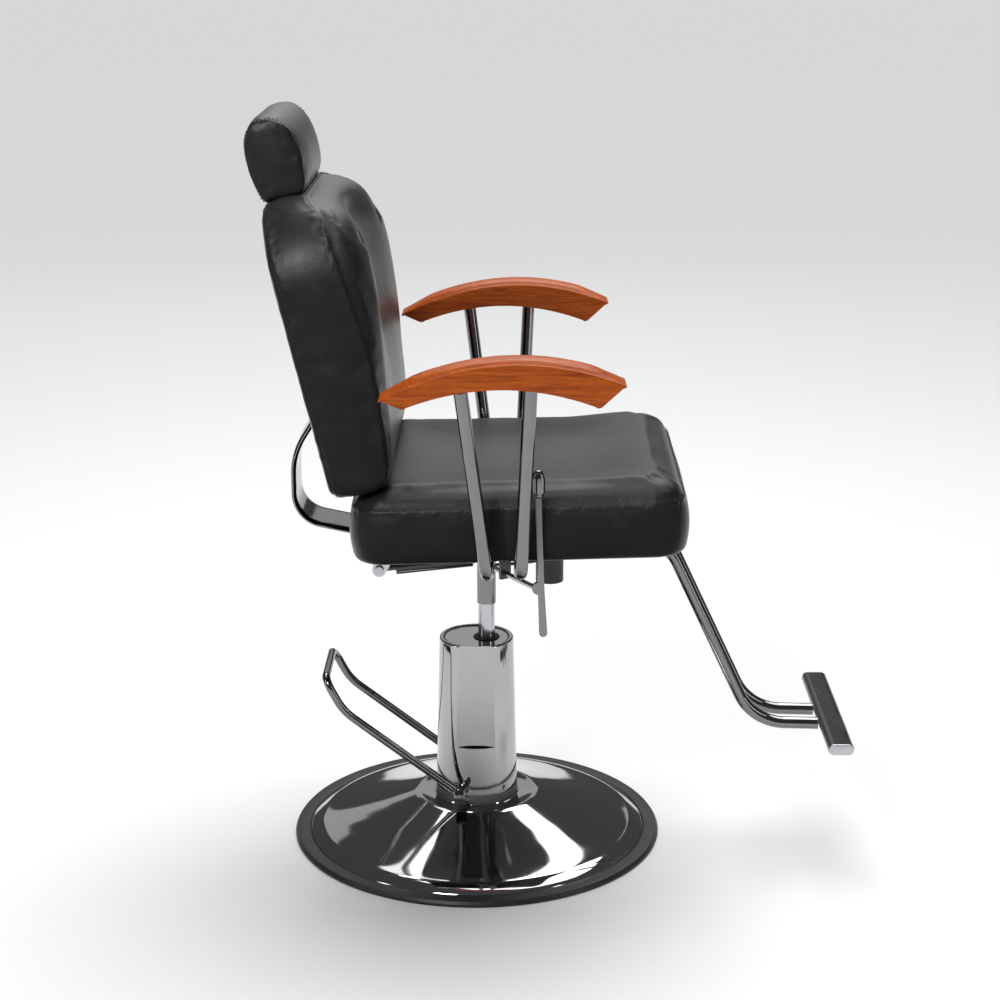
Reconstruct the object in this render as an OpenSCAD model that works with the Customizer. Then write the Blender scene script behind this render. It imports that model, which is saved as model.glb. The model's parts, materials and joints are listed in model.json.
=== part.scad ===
// Hydraulic barber chair. The floor is z = 0 and +Z is up. The origin is on
// the axis of the lifting ram, and the chair faces -Y, so its right is -X.
// Side outlines are drawn as [forward, up], where forward means towards -Y.

/* [Base] */
// Diameter of the trim ring on the floor
base_d = 585; // [560:5:620]
// How far the base centre lies behind the ram axis
base_back = 16; // [14:1:17]
// Height of the flat top of the base shell
dome_top = 66; // [60:1:70]

/* [Pump] */
// Top of the pump cover
cover_top = 327; // [325:1:329]
// Radius of the pump cover at its foot
cover_foot_r = 64.5; // [63:0.5:66]
// Radius of the pump cover at its top
cover_top_r = 58.5; // [57:0.5:60]
// Radius of the lifting ram
ram_r = 13; // [12:0.5:13]
// Length of a pedal side rod, from the axle to the crossbar
pedal_reach = 292; // [270:1:300]

/* [Seat] */
// Width of the seat cushion
seat_w = 480; // [460:5:490]
// Distance of the seat's rear edge behind the ram axis
seat_rear = 191; // [185:1:193]
// Distance of the seat's front edge ahead of the ram axis
seat_front = 288; // [280:1:300]
// Thickness of the seat cushion
seat_thick = 97; // [90:1:100]
// Tilt of the seat, front edge up
seat_tilt = 1.8; // [1.5:0.1:2]
// Height of the seat's underside above the floor at the ram axis
seat_z = 522.5; // [521:0.5:524]

/* [Back] */
// Width of the back cushion
back_w = 480; // [460:5:490]
// Height of the back cushion along its own tilt
back_h = 425; // [415:1:425]
// Lean of the back from upright at rest
back_lean = 13.65; // [13:0.05:14]
// Width of the headrest
head_w = 260; // [240:5:270]

/* [Arms and footrest] */
// Distance between the centres of the two armrests
arm_gap = 620; // [610:2:630]
// Width of an armrest
arm_w = 50; // [46:1:54]
// Diameter of an arm post
post_d = 20; // [18:0.5:20]
// Width of the foot bar
foot_w = 316; // [300:2:330]

/* [Hidden] */
$fn = 48;
fit = 0.05;
eps = 0.01;
right = -1;
left = 1;

// Base and pump
rim_in = base_d / 2 - 24.5;
shell_t = 2.5;
collar_r = 95;
bolt_circle_r = 52;
foot_r = 65;
foot_top = dome_top + 14;
collar_top = foot_top + 12;
cylinder_r = 19;
ram_bore_r = ram_r + 2;
axle_f = -42;
axle_z = collar_top - 4;
axle_r = 5;
plunger_f = -29;
plunger_r = 4.5;
block_z = 130;
rod_r = 6.5;
rod_x = 71.5;

// Ram and hub
piston_z = 165;
ram_top = 484;
sleeve_z = 383;
hub_z = 456;
plate_t = 6;
rail_h = 20;
rail_x = 100;
rail_w = 25;

// Back hinge and gas spring
hinge_f = -140;
hinge_z = 495;
crank_f = -165;
crank_z = 449;
gas_x = -36;
gas_slope = 6.4;
gas_length = 260;
back_f = -212;
back_z = 616;
strap_w = 94;
strap_t = 8;

// Lever
lever_x = -252;
lever_f = 75;
lever_z = 489;
shaft_turn = 33;
shaft_l = 172;

// Arms
post_r = post_d / 2;
post_top_z = [791, 795];
post_top_f = [-31, 66];
post_foot_f = [5, 53];
post_foot_z = [511, 512.5];
post_foot_x = 272;

// Footrest
foot_tube_r = 9.5;
foot_tube_x = 30;
foot_bar_f = 543;
foot_bar_z = 199;

// Draws an outline of [forward, up] points, and gives it a width across the chair
module across(mid, width)
    translate([mid + width / 2, 0, 0])
        rotate([90, 0, -90])
            linear_extrude(width)
                children();

// A round bar across the chair, from x = from to x = to
module cross_bar(forward, up, r, from, to)
    translate([from, -forward, up])
        rotate([0, 90, 0])
            cylinder(r = r, h = to - from);

module at_base_centre()
    translate([0, base_back, 0])
        children();

// The seat's own frame: z = 0 is the underside of the cushion
module on_seat()
    translate([0, 0, seat_z])
        rotate([-seat_tilt, 0, 0])
            children();

// The back's own frame: z runs up its rear face, and -Y points forward from it
module on_back()
    translate([0, -back_f, back_z])
        rotate([-back_lean, 0, 0])
            children();

// The gas spring's own frame: -Y runs along it from the crank pin
module on_gas_line()
    translate([gas_x, -crank_f, crank_z])
        rotate([-gas_slope, 0, 0])
            children();

// The lever shaft's own frame: X runs along the shaft, inwards from the lever
module on_shaft()
    translate([lever_x, -lever_f, lever_z])
        rotate([0, 0, shaft_turn])
            children();

module tube(outer, inner, h)
    difference() {
        cylinder(r = outer, h = h);
        translate([0, 0, -1])
            cylinder(r = inner, h = h + 2);
    }

// A plate with two or four rounded corners, lying in the xy plane
module rounded_plate(x0, x1, y0, y1, r, h)
    linear_extrude(h)
        union() {
            translate([x0 + r, y0])
                square([x1 - x0 - 2 * r, y1 - y0]);
            translate([x0, y0 + r])
                square([x1 - x0, y1 - y0 - 2 * r]);
            for (x = [x0 + r, x1 - r], y = [y0 + r, y1 - r])
                translate([x, y])
                    circle(r);
        }

// Bent rods: a path of points, with each corner turned into an arc
function unit(v) = v / norm(v);
function arc_at(a, b, c, bend, steps) =
    let (u = unit(a - b),
         v = unit(c - b),
         half = acos(u * v) / 2,
         turn = 180 - 2 * half,
         centre = b + unit(u + v) * bend / sin(half),
         p = b + u * bend / tan(half) - centre,
         q = b + v * bend / tan(half) - centre)
    [for (i = [0 : steps])
        centre + (sin((1 - i / steps) * turn) * p + sin(i / steps * turn) * q) / sin(turn)];
function bent_path(corners, bends, steps) =
    let (last = len(corners) - 1)
    concat([corners[0]],
           [for (i = [1 : last - 1])
               each arc_at(corners[i - 1], corners[i], corners[i + 1], bends[i - 1], steps)],
           [corners[last]]);
function direction(path, i) =
    unit(path[min(i + 1, len(path) - 1)] - path[max(i - 1, 0)]);
function ring(path, i, about, r, sides) =
    let (t = direction(path, i),
         side = unit(cross(t, about)),
         other = cross(t, side))
    [for (k = [0 : sides - 1])
        path[i] + r * (cos(360 * k / sides) * side + sin(360 * k / sides) * other)];

// A solid round rod along a path; about is a direction that the path never takes
module rod(path, about, r, sides = 16) {
    last = len(path) - 1;
    skin = [for (i = [0 : last - 1], k = [0 : sides - 1])
        let (n = (k + 1) % sides)
        [i * sides + k, (i + 1) * sides + k, (i + 1) * sides + n, i * sides + n]];
    caps = [[for (k = [0 : sides - 1]) k],
            [for (k = [sides - 1 : -1 : 0]) last * sides + k]];
    polyhedron([for (i = [0 : last]) each ring(path, i, about, r, sides)], concat(skin, caps));
}

// A flat band of one thickness along a path of [forward, up] points
function side_normal(path, i) =
    let (t = direction(path, i))
    [-t[1], t[0]];
module band(path, thick, mid, width) {
    last = len(path) - 1;
    across(mid, width)
        polygon(concat([for (i = [0 : last]) path[i] + side_normal(path, i) * thick / 2],
                       [for (i = [last : -1 : 0]) path[i] - side_normal(path, i) * thick / 2]));
}

// ---- Base ----

module base_trim_ring()
    color("#222226")
        at_base_centre()
            rotate_extrude($fn = 96)
                polygon([[rim_in, 0], [base_d / 2 - 2, 0], [base_d / 2, 2.5],
                         [base_d / 2 - 1.5, 6.5], [base_d / 2 - 6, 9], [rim_in, 9]]);

// Height of the shell's flared top at radius r, from the crease to the collar
crease_r = rim_in - 18;
crease_z = 18;
function flare(r) = crease_z + (dome_top - crease_z) * pow((crease_r - r) / (crease_r - collar_r), 1.2);
module base_dome() {
    rings = 8;
    outer = concat([[rim_in - fit, 9], [rim_in - 4, 12.5]],
                   [for (i = [0 : rings])
                       let (r = crease_r + (collar_r - crease_r) * i / rings)
                       [r, flare(r)]],
                   [[40, dome_top]]);
    inner = [for (i = [len(outer) - 1 : -1 : 0]) outer[i] - [0, shell_t]];
    color("#c8cace")
        at_base_centre()
            difference() {
                rotate_extrude($fn = 96)
                    polygon(concat(outer, inner));
                base_bolt_places()
                    cylinder(r = 4.2, h = dome_top + 1);
            }
}

module base_bolt_places()
    for (a = [45 : 90 : 315])
        rotate([0, 0, a])
            translate([bolt_circle_r, 0, 0])
                children();

module reinforcement_plate()
    color("#55585c")
        at_base_centre()
            difference() {
                translate([0, 0, dome_top - shell_t - 5])
                    tube(78, 38, 5);
                base_bolt_places()
                    cylinder(r = 4.2, h = dome_top);
            }

module base_bolts() {
    head_z = dome_top - shell_t - 5;
    color("#8c8f93")
        at_base_centre()
            base_bolt_places() {
                translate([0, 0, head_z - 5.5])
                    cylinder(r = 7.5, h = 5.5, $fn = 6);
                translate([0, 0, head_z])
                    cylinder(r = 4, h = foot_top - 2 - head_z);
            }
}

// ---- Pump ----

module pump_body()
    color("#6f7377")
        difference() {
            union() {
                at_base_centre() {
                    translate([0, 0, dome_top])
                        cylinder(r = foot_r, h = foot_top - dome_top);
                    translate([0, 0, foot_top - eps])
                        cylinder(r = 60, h = collar_top - foot_top);
                }
                for (side = [right, left])
                    translate([side * 36 - 6, -axle_f - 12, collar_top - 1])
                        cube([12, 24, 9]);
                cylinder(r = cylinder_r, h = 321);
                translate([-13, 14, block_z])
                    cube([26, 26, 44]);
            }
            cylinder(r = 80, h = dome_top);
            translate([0, 0, collar_top + 3])
                cylinder(r = ram_bore_r, h = 300);
            translate([0, -plunger_f, block_z - 1])
                cylinder(r = plunger_r + fit, h = 42);
            cross_bar(axle_f, axle_z, axle_r + fit, -80, 80);
            translate([-11, 20.5, dome_top + 4])
                cube([22, 40, 40]);
            translate([-11, 20.5, dome_top + 4])
                cube([22, 18, block_z - dome_top - 4]);
            at_base_centre() {
                base_bolt_places()
                    cylinder(r = 4, h = foot_top - 1);
                cover_screw_places()
                    cylinder(r = 2, h = 14);
            }
        }

module oil_reservoir()
    color("#5d6165") {
        translate([0, 0, 182])
            tube(36, 33.5, 134);
        for (z = [178, 316])
            translate([0, 0, z])
                tube(36, cylinder_r + fit, 4);
    }

module guide_bush()
    color("#b08d46")
        translate([0, 0, 292])
            tube(ram_bore_r - eps, ram_r + fit, 28);

module ram_seal()
    color("#1c1c1c")
        translate([0, 0, 321])
            tube(20, ram_r + fit, 5.5);

module cover_screw_places()
    for (a = [45 : 90 : 315])
        rotate([0, 0, a])
            translate([48, 0, foot_top + 7])
                rotate([0, 90, 0])
                    children();

// The tapered chrome cover, with a flat panel down its right side
panel_x = -51.4;
panel_foot = 159;
module cover_solid(shrink, below) {
    taper = (cover_foot_r - cover_top_r) / (cover_top - foot_top);
    difference() {
        translate([0, 0, foot_top - below])
            cylinder(r1 = cover_foot_r - shrink + taper * below, r2 = cover_top_r - shrink + taper * shrink,
                     h = cover_top - foot_top - shrink + below);
        translate([panel_x + shrink, 0, cover_top])
            rotate([0, 0.8 * atan(taper), 0])
                translate([-40, -60, panel_foot - shrink - cover_top])
                    cube([40, 120, 250]);
    }
}
module pump_cover()
    color("#c8cace")
        difference() {
            at_base_centre()
                cover_solid(0, 0);
            at_base_centre()
                cover_solid(2, 3);
            cylinder(r = 21, h = 400);
            cross_bar(axle_f, axle_z, 9, -80, 80);
            translate([-80, -axle_f - 9, foot_top - 1])
                cube([160, 18, axle_z - foot_top + 1]);
            at_base_centre()
                cover_screw_places()
                    cylinder(r = 2.2, h = 30);
        }

module cover_screws()
    color("#a5a8ab")
        at_base_centre()
            cover_screw_places() {
                cylinder(r = 2, h = 16.6);
                translate([0, 0, 16.6])
                    cylinder(r = 3.6, h = 2.4);
            }

// ---- Pedal and plunger ----

module pedal_axle()
    color("#8c8f93")
        cross_bar(axle_f, axle_z, axle_r, -77.5, 77.5);

pedal_rise = 37.4;
pedal_kick = 25;
function pedal_point(along, turn) = [0, along * cos(turn), along * sin(turn)];
module pedal_knuckles()
    color("#c8cace")
        for (side = [right, left])
            difference() {
                cross_bar(axle_f, axle_z, 10.5, side * rod_x - 8, side * rod_x + 8);
                cross_bar(axle_f, axle_z, axle_r, -90, 90);
                translate([side * rod_x, -axle_f, axle_z])
                    rotate([pedal_rise - 90, 0, 0])
                        translate([0, 0, 8])
                            cylinder(r = rod_r + 0.1, h = 10);
            }

module pedal_rod() {
    start = [0, -axle_f, axle_z] + pedal_point(8.1, pedal_rise);
    knee = [0, -axle_f, axle_z] + pedal_point(pedal_reach * 0.78, pedal_rise);
    tip = knee + pedal_point(pedal_reach * 0.20, pedal_rise + pedal_kick);
    across_x = [rod_x, 0, 0];
    corners = [start - across_x, knee - across_x, tip - across_x,
               tip + across_x, knee + across_x, start + across_x];
    color("#c8cace")
        rod(bent_path(corners, [90, 20, 20, 90], 7),
            [0, -sin(pedal_rise + pedal_kick / 2), cos(pedal_rise + pedal_kick / 2)], rod_r);
}

module pump_rocker()
    color("#7d8185")
        difference() {
            union() {
                cross_bar(axle_f, axle_z, 7.5, -8, 8);
                translate([-5, -axle_f - 13, axle_z - 4])
                    cube([10, 13, 8]);
                cross_bar(plunger_f, axle_z, 4, -5, 5);
            }
            cross_bar(axle_f, axle_z, axle_r, -20, 20);
        }

module pump_plunger()
    color("#a5a8ab")
        translate([0, -plunger_f, axle_z + 4.3]) {
            cylinder(r = 6.2, h = 2.7);
            cylinder(r = plunger_r, h = 66);
        }

// The return spring round the plunger, as one swept coil
spring_turns = 5;
spring_r = 5.9;
spring_z = axle_z + 8;
function coil_point(i, steps) =
    [spring_r * cos(360 * spring_turns * i / steps),
     -plunger_f + spring_r * sin(360 * spring_turns * i / steps),
     spring_z + (block_z - 1 - spring_z) * i / steps];
module plunger_spring() {
    steps = 60;
    color("#9a9da0")
        rod([for (i = [0 : steps]) coil_point(i, steps)], [0, 0, 1], 0.8, 8);
}

// ---- Ram ----

module ram()
    color("#9fa2a6")
        translate([0, 0, piston_z + 15])
            cylinder(r = ram_r, h = ram_top - 4 - piston_z - 15);

module ram_piston()
    color("#7d8185")
        translate([0, 0, piston_z])
            difference() {
                cylinder(r = ram_bore_r - fit, h = 15);
                translate([0, 0, 5])
                    tube(ram_bore_r + 1, ram_r - 0.5, 5);
            }

module piston_seal()
    color("#1c1c1c")
        translate([0, 0, piston_z + 5])
            tube(ram_bore_r - fit, ram_r - 0.5, 5);

module thrust_washer()
    color("#b08d46")
        translate([0, 0, ram_top - 4])
            cylinder(r = ram_r - 0.5, h = 4);

// ---- Seat frame ----

module hub_sleeve()
    color("#9fa2a6")
        translate([0, 0, sleeve_z])
            tube(15, ram_r + fit, hub_z - sleeve_z);

module swivel_hub()
    color("#55585c")
        difference() {
            translate([0, 0, hub_z])
                cylinder(r = 20, h = 60);
            translate([0, 0, hub_z - 1])
                cylinder(r = ram_r + fit, h = ram_top + 0.3 - hub_z + 1);
            on_seat()
                translate([-50, -50, -rail_h - plate_t])
                    cube([100, 100, 60]);
        }

module plate_bolt_places()
    for (x = [-rail_x, rail_x], y = [-95, 75])
        translate([x, y, 0])
            children();

module mounting_plate()
    color("#3c3f42")
        on_seat()
            difference() {
                translate([0, 0, -rail_h - plate_t])
                    rounded_plate(-112, 112, -110, 90, 10, plate_t);
                translate([0, 0, -40])
                    plate_bolt_places()
                        cylinder(r = 4, h = 30);
            }

module plate_bolts()
    color("#8c8f93")
        on_seat()
            plate_bolt_places() {
                translate([0, 0, -rail_h - plate_t - 5.5])
                    cylinder(r = 6.5, h = 5.5, $fn = 6);
                translate([0, 0, -rail_h - plate_t])
                    cylinder(r = 4, h = plate_t + 10);
            }

module seat_rails()
    color("#3c3f42")
        on_seat()
            for (x = [-rail_x, rail_x])
                difference() {
                    translate([x - rail_w / 2, -255, -rail_h])
                        cube([rail_w, 425, rail_h]);
                    translate([x - rail_w / 2 + 2, -256, -rail_h + 2])
                        cube([rail_w - 4, 427, rail_h - 4]);
                    translate([0, 0, -rail_h - 1])
                        plate_bolt_places()
                            cylinder(r = 4, h = 12);
                }

cross_y = [-249, -160];
module cross_tubes()
    color("#3c3f42")
        on_seat()
            for (y = cross_y)
                difference() {
                    translate([-rail_x + rail_w / 2, y, -rail_h])
                        cube([2 * rail_x - rail_w, 20, rail_h]);
                    translate([-rail_x, y + 2, -rail_h + 2])
                        cube([2 * rail_x, 16, rail_h - 4]);
                }

board_t = 12;
module seat_outline(inset, z0, z1)
    translate([0, 0, z0])
        rounded_plate(-seat_w / 2 + inset, seat_w / 2 - inset,
                      -seat_front + inset, seat_rear - inset, 50 - inset, z1 - z0);

module seat_board()
    color("#b58a5a")
        on_seat()
            seat_outline(10, 0, board_t);

module seat_cushion()
    color("#1e1e20")
        on_seat()
            difference() {
                seat_outline(0, 0, seat_thick);
                seat_outline(10, -1, board_t);
            }

// ---- Back hinge, strap and cushion ----

module hinge_ears()
    color("#3c3f42")
        for (side = [right, left])
            difference() {
                across(side * 53, 6)
                    polygon([[hinge_f - 14, hinge_z - 4], [hinge_f - 8, hinge_z - 12],
                             [hinge_f + 8, hinge_z - 12], [hinge_f + 22, seat_z - 4.5],
                             [hinge_f - 22, seat_z - 5.9]]);
                cross_bar(hinge_f, hinge_z, 6, -80, 80);
            }

module hinge_pin()
    color("#a5a8ab")
        cross_bar(hinge_f, hinge_z, 6, -60, 60);

back_line = [-241.5, 717];
strap_path = bent_path([[hinge_f - 1, hinge_z + 7], [-212, 512], [-294, 529], [-294, 632], back_line,
                        back_line + 110 * [-sin(back_lean), cos(back_lean)]],
                       [60, 80, 110, 42], 8);
module strap_bolt_places()
    for (x = [-28, 28], s = [150, 190])
        translate([x, 0, s])
            rotate([90, 0, 0])
                children();
module back_strap()
    color("#c8cace")
        difference() {
            union() {
                band(strap_path, strap_t, 0, strap_w);
                cross_bar(hinge_f, hinge_z, 11, -strap_w / 2, strap_w / 2);
            }
            cross_bar(hinge_f, hinge_z, 6 + fit, -80, 80);
            on_back()
                strap_bolt_places()
                    translate([0, 0, -20])
                        cylinder(r = 4.2, h = 30);
        }

gas_eye_w = 11;
module crank_plates()
    color("#a5a8ab")
        for (x = [gas_x - 8, gas_x + 8])
            difference() {
                across(x, 4)
                    union() {
                        polygon([[hinge_f - 10.5, hinge_z - 2], [hinge_f + 10.5, hinge_z - 2],
                                 [crank_f + 11, crank_z - 3], [crank_f - 11, crank_z + 3]]);
                        translate([crank_f, crank_z])
                            circle(11);
                    }
                cross_bar(hinge_f, hinge_z, 11 + eps, -80, 80);
                cross_bar(crank_f, crank_z, 5, -80, 80);
            }

module crank_pin()
    color("#a5a8ab") {
        cross_bar(crank_f, crank_z, 5, gas_x - 14, gas_x + 14);
        cross_bar(crank_f, crank_z, 7, gas_x - 16, gas_x - 14);
    }

module strap_bolts()
    color("#a5a8ab")
        on_back()
            strap_bolt_places() {
                translate([0, 0, -12.5])
                    cylinder(r = 8, h = 3.5);
                translate([0, 0, -9])
                    cylinder(r = 4, h = 22);
            }

// Outline of the back seen from the front: straight sides under rounded shoulders
shoulder_r = 120;
module back_outline(inset) {
    half = back_w / 2 - inset;
    r = shoulder_r - inset;
    union() {
        translate([-half, inset])
            square([2 * half, back_h - shoulder_r - inset]);
        translate([-half + r, back_h - shoulder_r - 1])
            square([2 * (half - r), shoulder_r - inset + 1]);
        intersection() {
            translate([-half, back_h - shoulder_r - 1])
                square([2 * half, shoulder_r]);
            for (side = [right, left])
                translate([side * (half - r), back_h - shoulder_r])
                    circle(r, $fn = 96);
        }
    }
}
// A slab of the back from depth t0 to depth t1 ahead of its rear face
module back_slab(inset, t0, t1)
    translate([0, -t0, 0])
        rotate([90, 0, 0])
            linear_extrude(t1 - t0)
                back_outline(inset);

module back_board()
    color("#b58a5a")
        on_back()
            difference() {
                back_slab(14, 3, 15);
                strap_bolt_places()
                    cylinder(r = 4, h = 40);
            }

head_s = back_h + 2.5;
post_x = 60;
module headrest_post_places()
    for (side = [right, left])
        translate([side * post_x, -34, 0])
            children();

module back_cushion()
    color("#1e1e20")
        on_back()
            difference() {
                intersection() {
                    back_slab(0, -10, 122);
                    rotate([90, 0, -90])
                        translate([0, 0, -back_w])
                            linear_extrude(2 * back_w)
                                polygon([[-10, 6], [-4, 0], [78, 8], [92, 50], [106, 120], [121, 220],
                                         [122, 300], [112, 372], [88, 412], [60, back_h],
                                         [2, back_h], [-10, back_h - 12]]);
                }
                // The rear face lies flat where the strap is bolted on
                translate([-strap_w / 2 - 5, 0, -1])
                    cube([strap_w + 10, 20, 221]);
                back_slab(14, 3, 15);
                strap_bolt_places()
                    translate([0, 0, -1])
                        cylinder(r = 4.2, h = 30);
                translate([0, 0, back_h - 150])
                    headrest_post_places()
                        cylinder(r = 8, h = 200);
            }

// ---- Gas spring and release ----

module gas_cylinder()
    color("#1c1c1c")
        on_gas_line()
            difference() {
                union() {
                    translate([-gas_eye_w / 2, 0, 0])
                        rotate([0, 90, 0])
                            cylinder(r = 10, h = gas_eye_w);
                    translate([0, -9, 0])
                        rotate([90, 0, 0])
                            cylinder(r = 5.4, h = 18);
                    translate([0, -26, 0])
                        rotate([90, 0, 0])
                            cylinder(r = 12, h = 119);
                }
                translate([-20, 0, 0])
                    rotate([0, 90, 0])
                        cylinder(r = 5 + fit, h = 40);
                translate([0, -32, 0])
                    rotate([90, 0, 0])
                        cylinder(r = 10, h = 120);
            }

module gas_rod()
    color("#a5a8ab")
        on_gas_line()
            difference() {
                union() {
                    translate([0, -105, 0])
                        rotate([90, 0, 0])
                            cylinder(r = 4.5, h = gas_length - 112);
                    translate([-5, -gas_length, 0])
                        rotate([0, 90, 0])
                            cylinder(r = 8, h = 10);
                }
                translate([-20, -gas_length, 0])
                    rotate([0, 90, 0])
                        cylinder(r = 4 + fit, h = 40);
            }

head_f = crank_f + gas_length * cos(gas_slope);
head_z = crank_z + gas_length * sin(gas_slope);
module release_head()
    color("#1c1c1c") {
        difference() {
            translate([gas_x, -head_f - 5, 431])
                cylinder(r = 21.5, h = 67.8);
            translate([gas_x - 6.5, -head_f - 10, head_z - 12])
                cube([13, 60, 24]);
            cross_bar(head_f, head_z, 4, gas_x - 30, gas_x + 30);
        }
        cross_bar(head_f, head_z, 4, gas_x - 18, gas_x + 18);
    }

module release_cable()
    color("#1c1c1c")
        rod(bent_path([[-108, 8, 478], [-106, -30, 478], [-84, -72, 476], [gas_x - 19.5, -head_f - 8, 474]],
                      [30, 30], 6), [0, 0, 1], 2.5, 10);

// ---- Lever ----

module lever_shaft()
    color("#9fa2a6")
        on_shaft()
            translate([4, 0, 0])
                rotate([0, 90, 0])
                    cylinder(r = 4, h = shaft_l);

// Each bracket's place along the shaft, and the height it reaches up to
bracket_places = [[80, seat_z + 1.2], [170, seat_z - rail_h - plate_t]];
module lever_brackets()
    color("#3c3f42")
        on_shaft()
            for (place = bracket_places)
                difference() {
                    translate([place[0], -9, -8])
                        cube([5, 18, 8 + place[1] - lever_z]);
                    translate([place[0] - 1, 0, 0])
                        rotate([0, 90, 0])
                            cylinder(r = 4 + fit, h = 8);
                }

module recline_lever()
    color("#b4b6ba")
        difference() {
            across(lever_x, 8)
                union() {
                    polygon([[80, 421], [92, 421], [83, 626], [73, 626]]);
                    translate([86, 421])
                        circle(6);
                    translate([lever_f + 3, lever_z])
                        circle(9);
                }
            on_shaft()
                translate([-20, 0, 0])
                    rotate([0, 90, 0])
                        cylinder(r = 4.02, h = 40);
        }

module lever_knob()
    color("#c8cace")
        translate([lever_x, -78, 626.2])
            rotate_extrude()
                polygon([[0, 0], [6.5, 0], [9, 2], [10, 6], [10, 26], [9.4, 31], [7, 36], [3, 39.5], [0, 40]]);

// ---- Arms ----

post_top_x = arm_gap / 2 - 2;
module arm_post(side, i) {
    foot = [side * post_foot_x, -post_foot_f[i], post_foot_z[i]];
    rod(bent_path([[side * post_top_x, -post_top_f[i], post_top_z[i]], foot,
                   [side * (rail_x + rail_w / 2 + 0.3), -post_foot_f[i], post_foot_z[i]]],
                  [24], 8), [0, 1, 0], post_r, 20);
}
module right_arm_posts()
    color("#b4b6ba")
        for (i = [0, 1])
            arm_post(right, i);
module left_arm_posts()
    color("#b4b6ba")
        for (i = [0, 1])
            arm_post(left, i);

// A run of points on a circular arc through a middle point of known rise
function bow(from, to, rise, steps) =
    [for (i = [0 : steps])
        let (s = 2 * i / steps - 1)
        (from + to) / 2 + s * (to - from) / 2 + [0, rise * (1 - s * s)]];
module armrest(side)
    across(side * arm_gap / 2, arm_w)
        polygon(concat(bow([-144, 789], [197, 804], 40, 18),
                       bow([162, 774], [-112, 772], 27, 14)));
module arm_screw_holes(side, r, top)
    for (i = [0, 1])
        translate([side * post_top_x, -post_top_f[i], post_top_z[i] - 6])
            cylinder(r = r, h = top);
module arm_bore(side)
    for (i = [0, 1])
        rod([[side * post_top_x, -post_top_f[i], post_top_z[i]],
             [side * post_foot_x, -post_foot_f[i], post_foot_z[i]]], [0, 1, 0], post_r + 0.1, 20);
module right_armrest()
    color("#b5591e")
        difference() {
            armrest(right);
            arm_bore(right);
            arm_screw_holes(right, 2.5, 30);
        }
module left_armrest()
    color("#b5591e")
        difference() {
            armrest(left);
            arm_bore(left);
            arm_screw_holes(left, 2.5, 30);
        }
module arm_screws()
    color("#8c8f93")
        for (side = [right, left], i = [0, 1])
            translate([side * post_top_x, -post_top_f[i], post_top_z[i] + 0.4])
                cylinder(r = 2.5, h = 22);

// ---- Footrest ----

module foot_tube(side)
    rod(bent_path([[side * foot_tube_x, -150, 494], [side * foot_tube_x, -277, 498],
                   [side * foot_tube_x, -421, 194], [side * foot_tube_x, -523, 192]],
                  [70, 105], 8), [1, 0, 0], foot_tube_r, 20);
module foot_tubes()
    color("#b4b6ba")
        for (side = [right, left])
            foot_tube(side);

foot_bar_half = 11;
foot_bar_r = 9;
module foot_bar_outline(inset) {
    union() {
        translate([foot_bar_f - foot_bar_half, foot_bar_z - foot_bar_r + inset])
            square([2 * foot_bar_half, 2 * (foot_bar_r - inset)]);
        for (f = [foot_bar_f - foot_bar_half, foot_bar_f + foot_bar_half])
            translate([f, foot_bar_z])
                circle(foot_bar_r - inset);
    }
}
module foot_bar()
    color("#6f7377")
        difference() {
            across(0, foot_w - 6)
                foot_bar_outline(0);
            across(0, foot_w)
                foot_bar_outline(2);
        }
module foot_bar_caps()
    color("#3c3f42")
        for (side = [right, left]) {
            across(side * (foot_w / 2 - 1.5), 3)
                foot_bar_outline(0.3);
            across(side * (foot_w / 2 - 8), 10)
                foot_bar_outline(2);
        }

// ---- Headrest ----

head_h = 115;
module head_outline()
    polygon([[-2, 8], [6, 0], [50, 0], [60, 10], [66, 40], [62, 82], [54, 106], [46, head_h],
             [10, head_h], [-2, head_h - 14], [-9, 60]]);
module headrest_cushion()
    color("#1e1e20")
        on_back()
            difference() {
                translate([0, 0, head_s])
                    rotate([90, 0, -90])
                        translate([0, 0, -head_w / 2])
                            linear_extrude(head_w)
                                head_outline();
                headrest_post_places()
                    cylinder(r = 5, h = head_s + 60);
            }

module headrest_posts()
    color("#a5a8ab")
        on_back()
            translate([0, 0, back_h - 130])
                headrest_post_places()
                    cylinder(r = 5, h = head_s + 60 - back_h + 130);

module headrest_guides()
    color("#1c1c1c")
        on_back()
            translate([0, 0, back_h - 118])
                headrest_post_places()
                    tube(8, 5 + fit, 118);

base_trim_ring();
base_dome();
reinforcement_plate();
base_bolts();
pump_body();
oil_reservoir();
guide_bush();
ram_seal();
pump_cover();
cover_screws();
pedal_axle();
pedal_knuckles();
pedal_rod();
pump_rocker();
pump_plunger();
plunger_spring();
ram();
ram_piston();
piston_seal();
thrust_washer();
hub_sleeve();
swivel_hub();
mounting_plate();
plate_bolts();
seat_rails();
cross_tubes();
seat_board();
seat_cushion();
hinge_ears();
hinge_pin();
back_strap();
crank_plates();
crank_pin();
strap_bolts();
back_board();
back_cushion();
gas_cylinder();
gas_rod();
release_head();
release_cable();
lever_shaft();
lever_brackets();
recline_lever();
lever_knob();
right_arm_posts();
left_arm_posts();
right_armrest();
left_armrest();
arm_screws();
foot_tubes();
foot_bar();
foot_bar_caps();
headrest_cushion();
headrest_posts();
headrest_guides();
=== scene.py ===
# %% [markdown]
# A hydraulic barber chair: a chromed round base and pump, a foot pedal, a
# seat, back and headrest in black leatherette, curved wooden armrests and a
# T-shaped footrest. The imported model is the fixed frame, in metres, and every
# new piece is made round it. +Z is up and the chair faces -Y.

# %% Load the frame
import json
import math

import bmesh
import bpy
from mathutils import Matrix, Vector, noise
from mathutils.kdtree import KDTree


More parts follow.
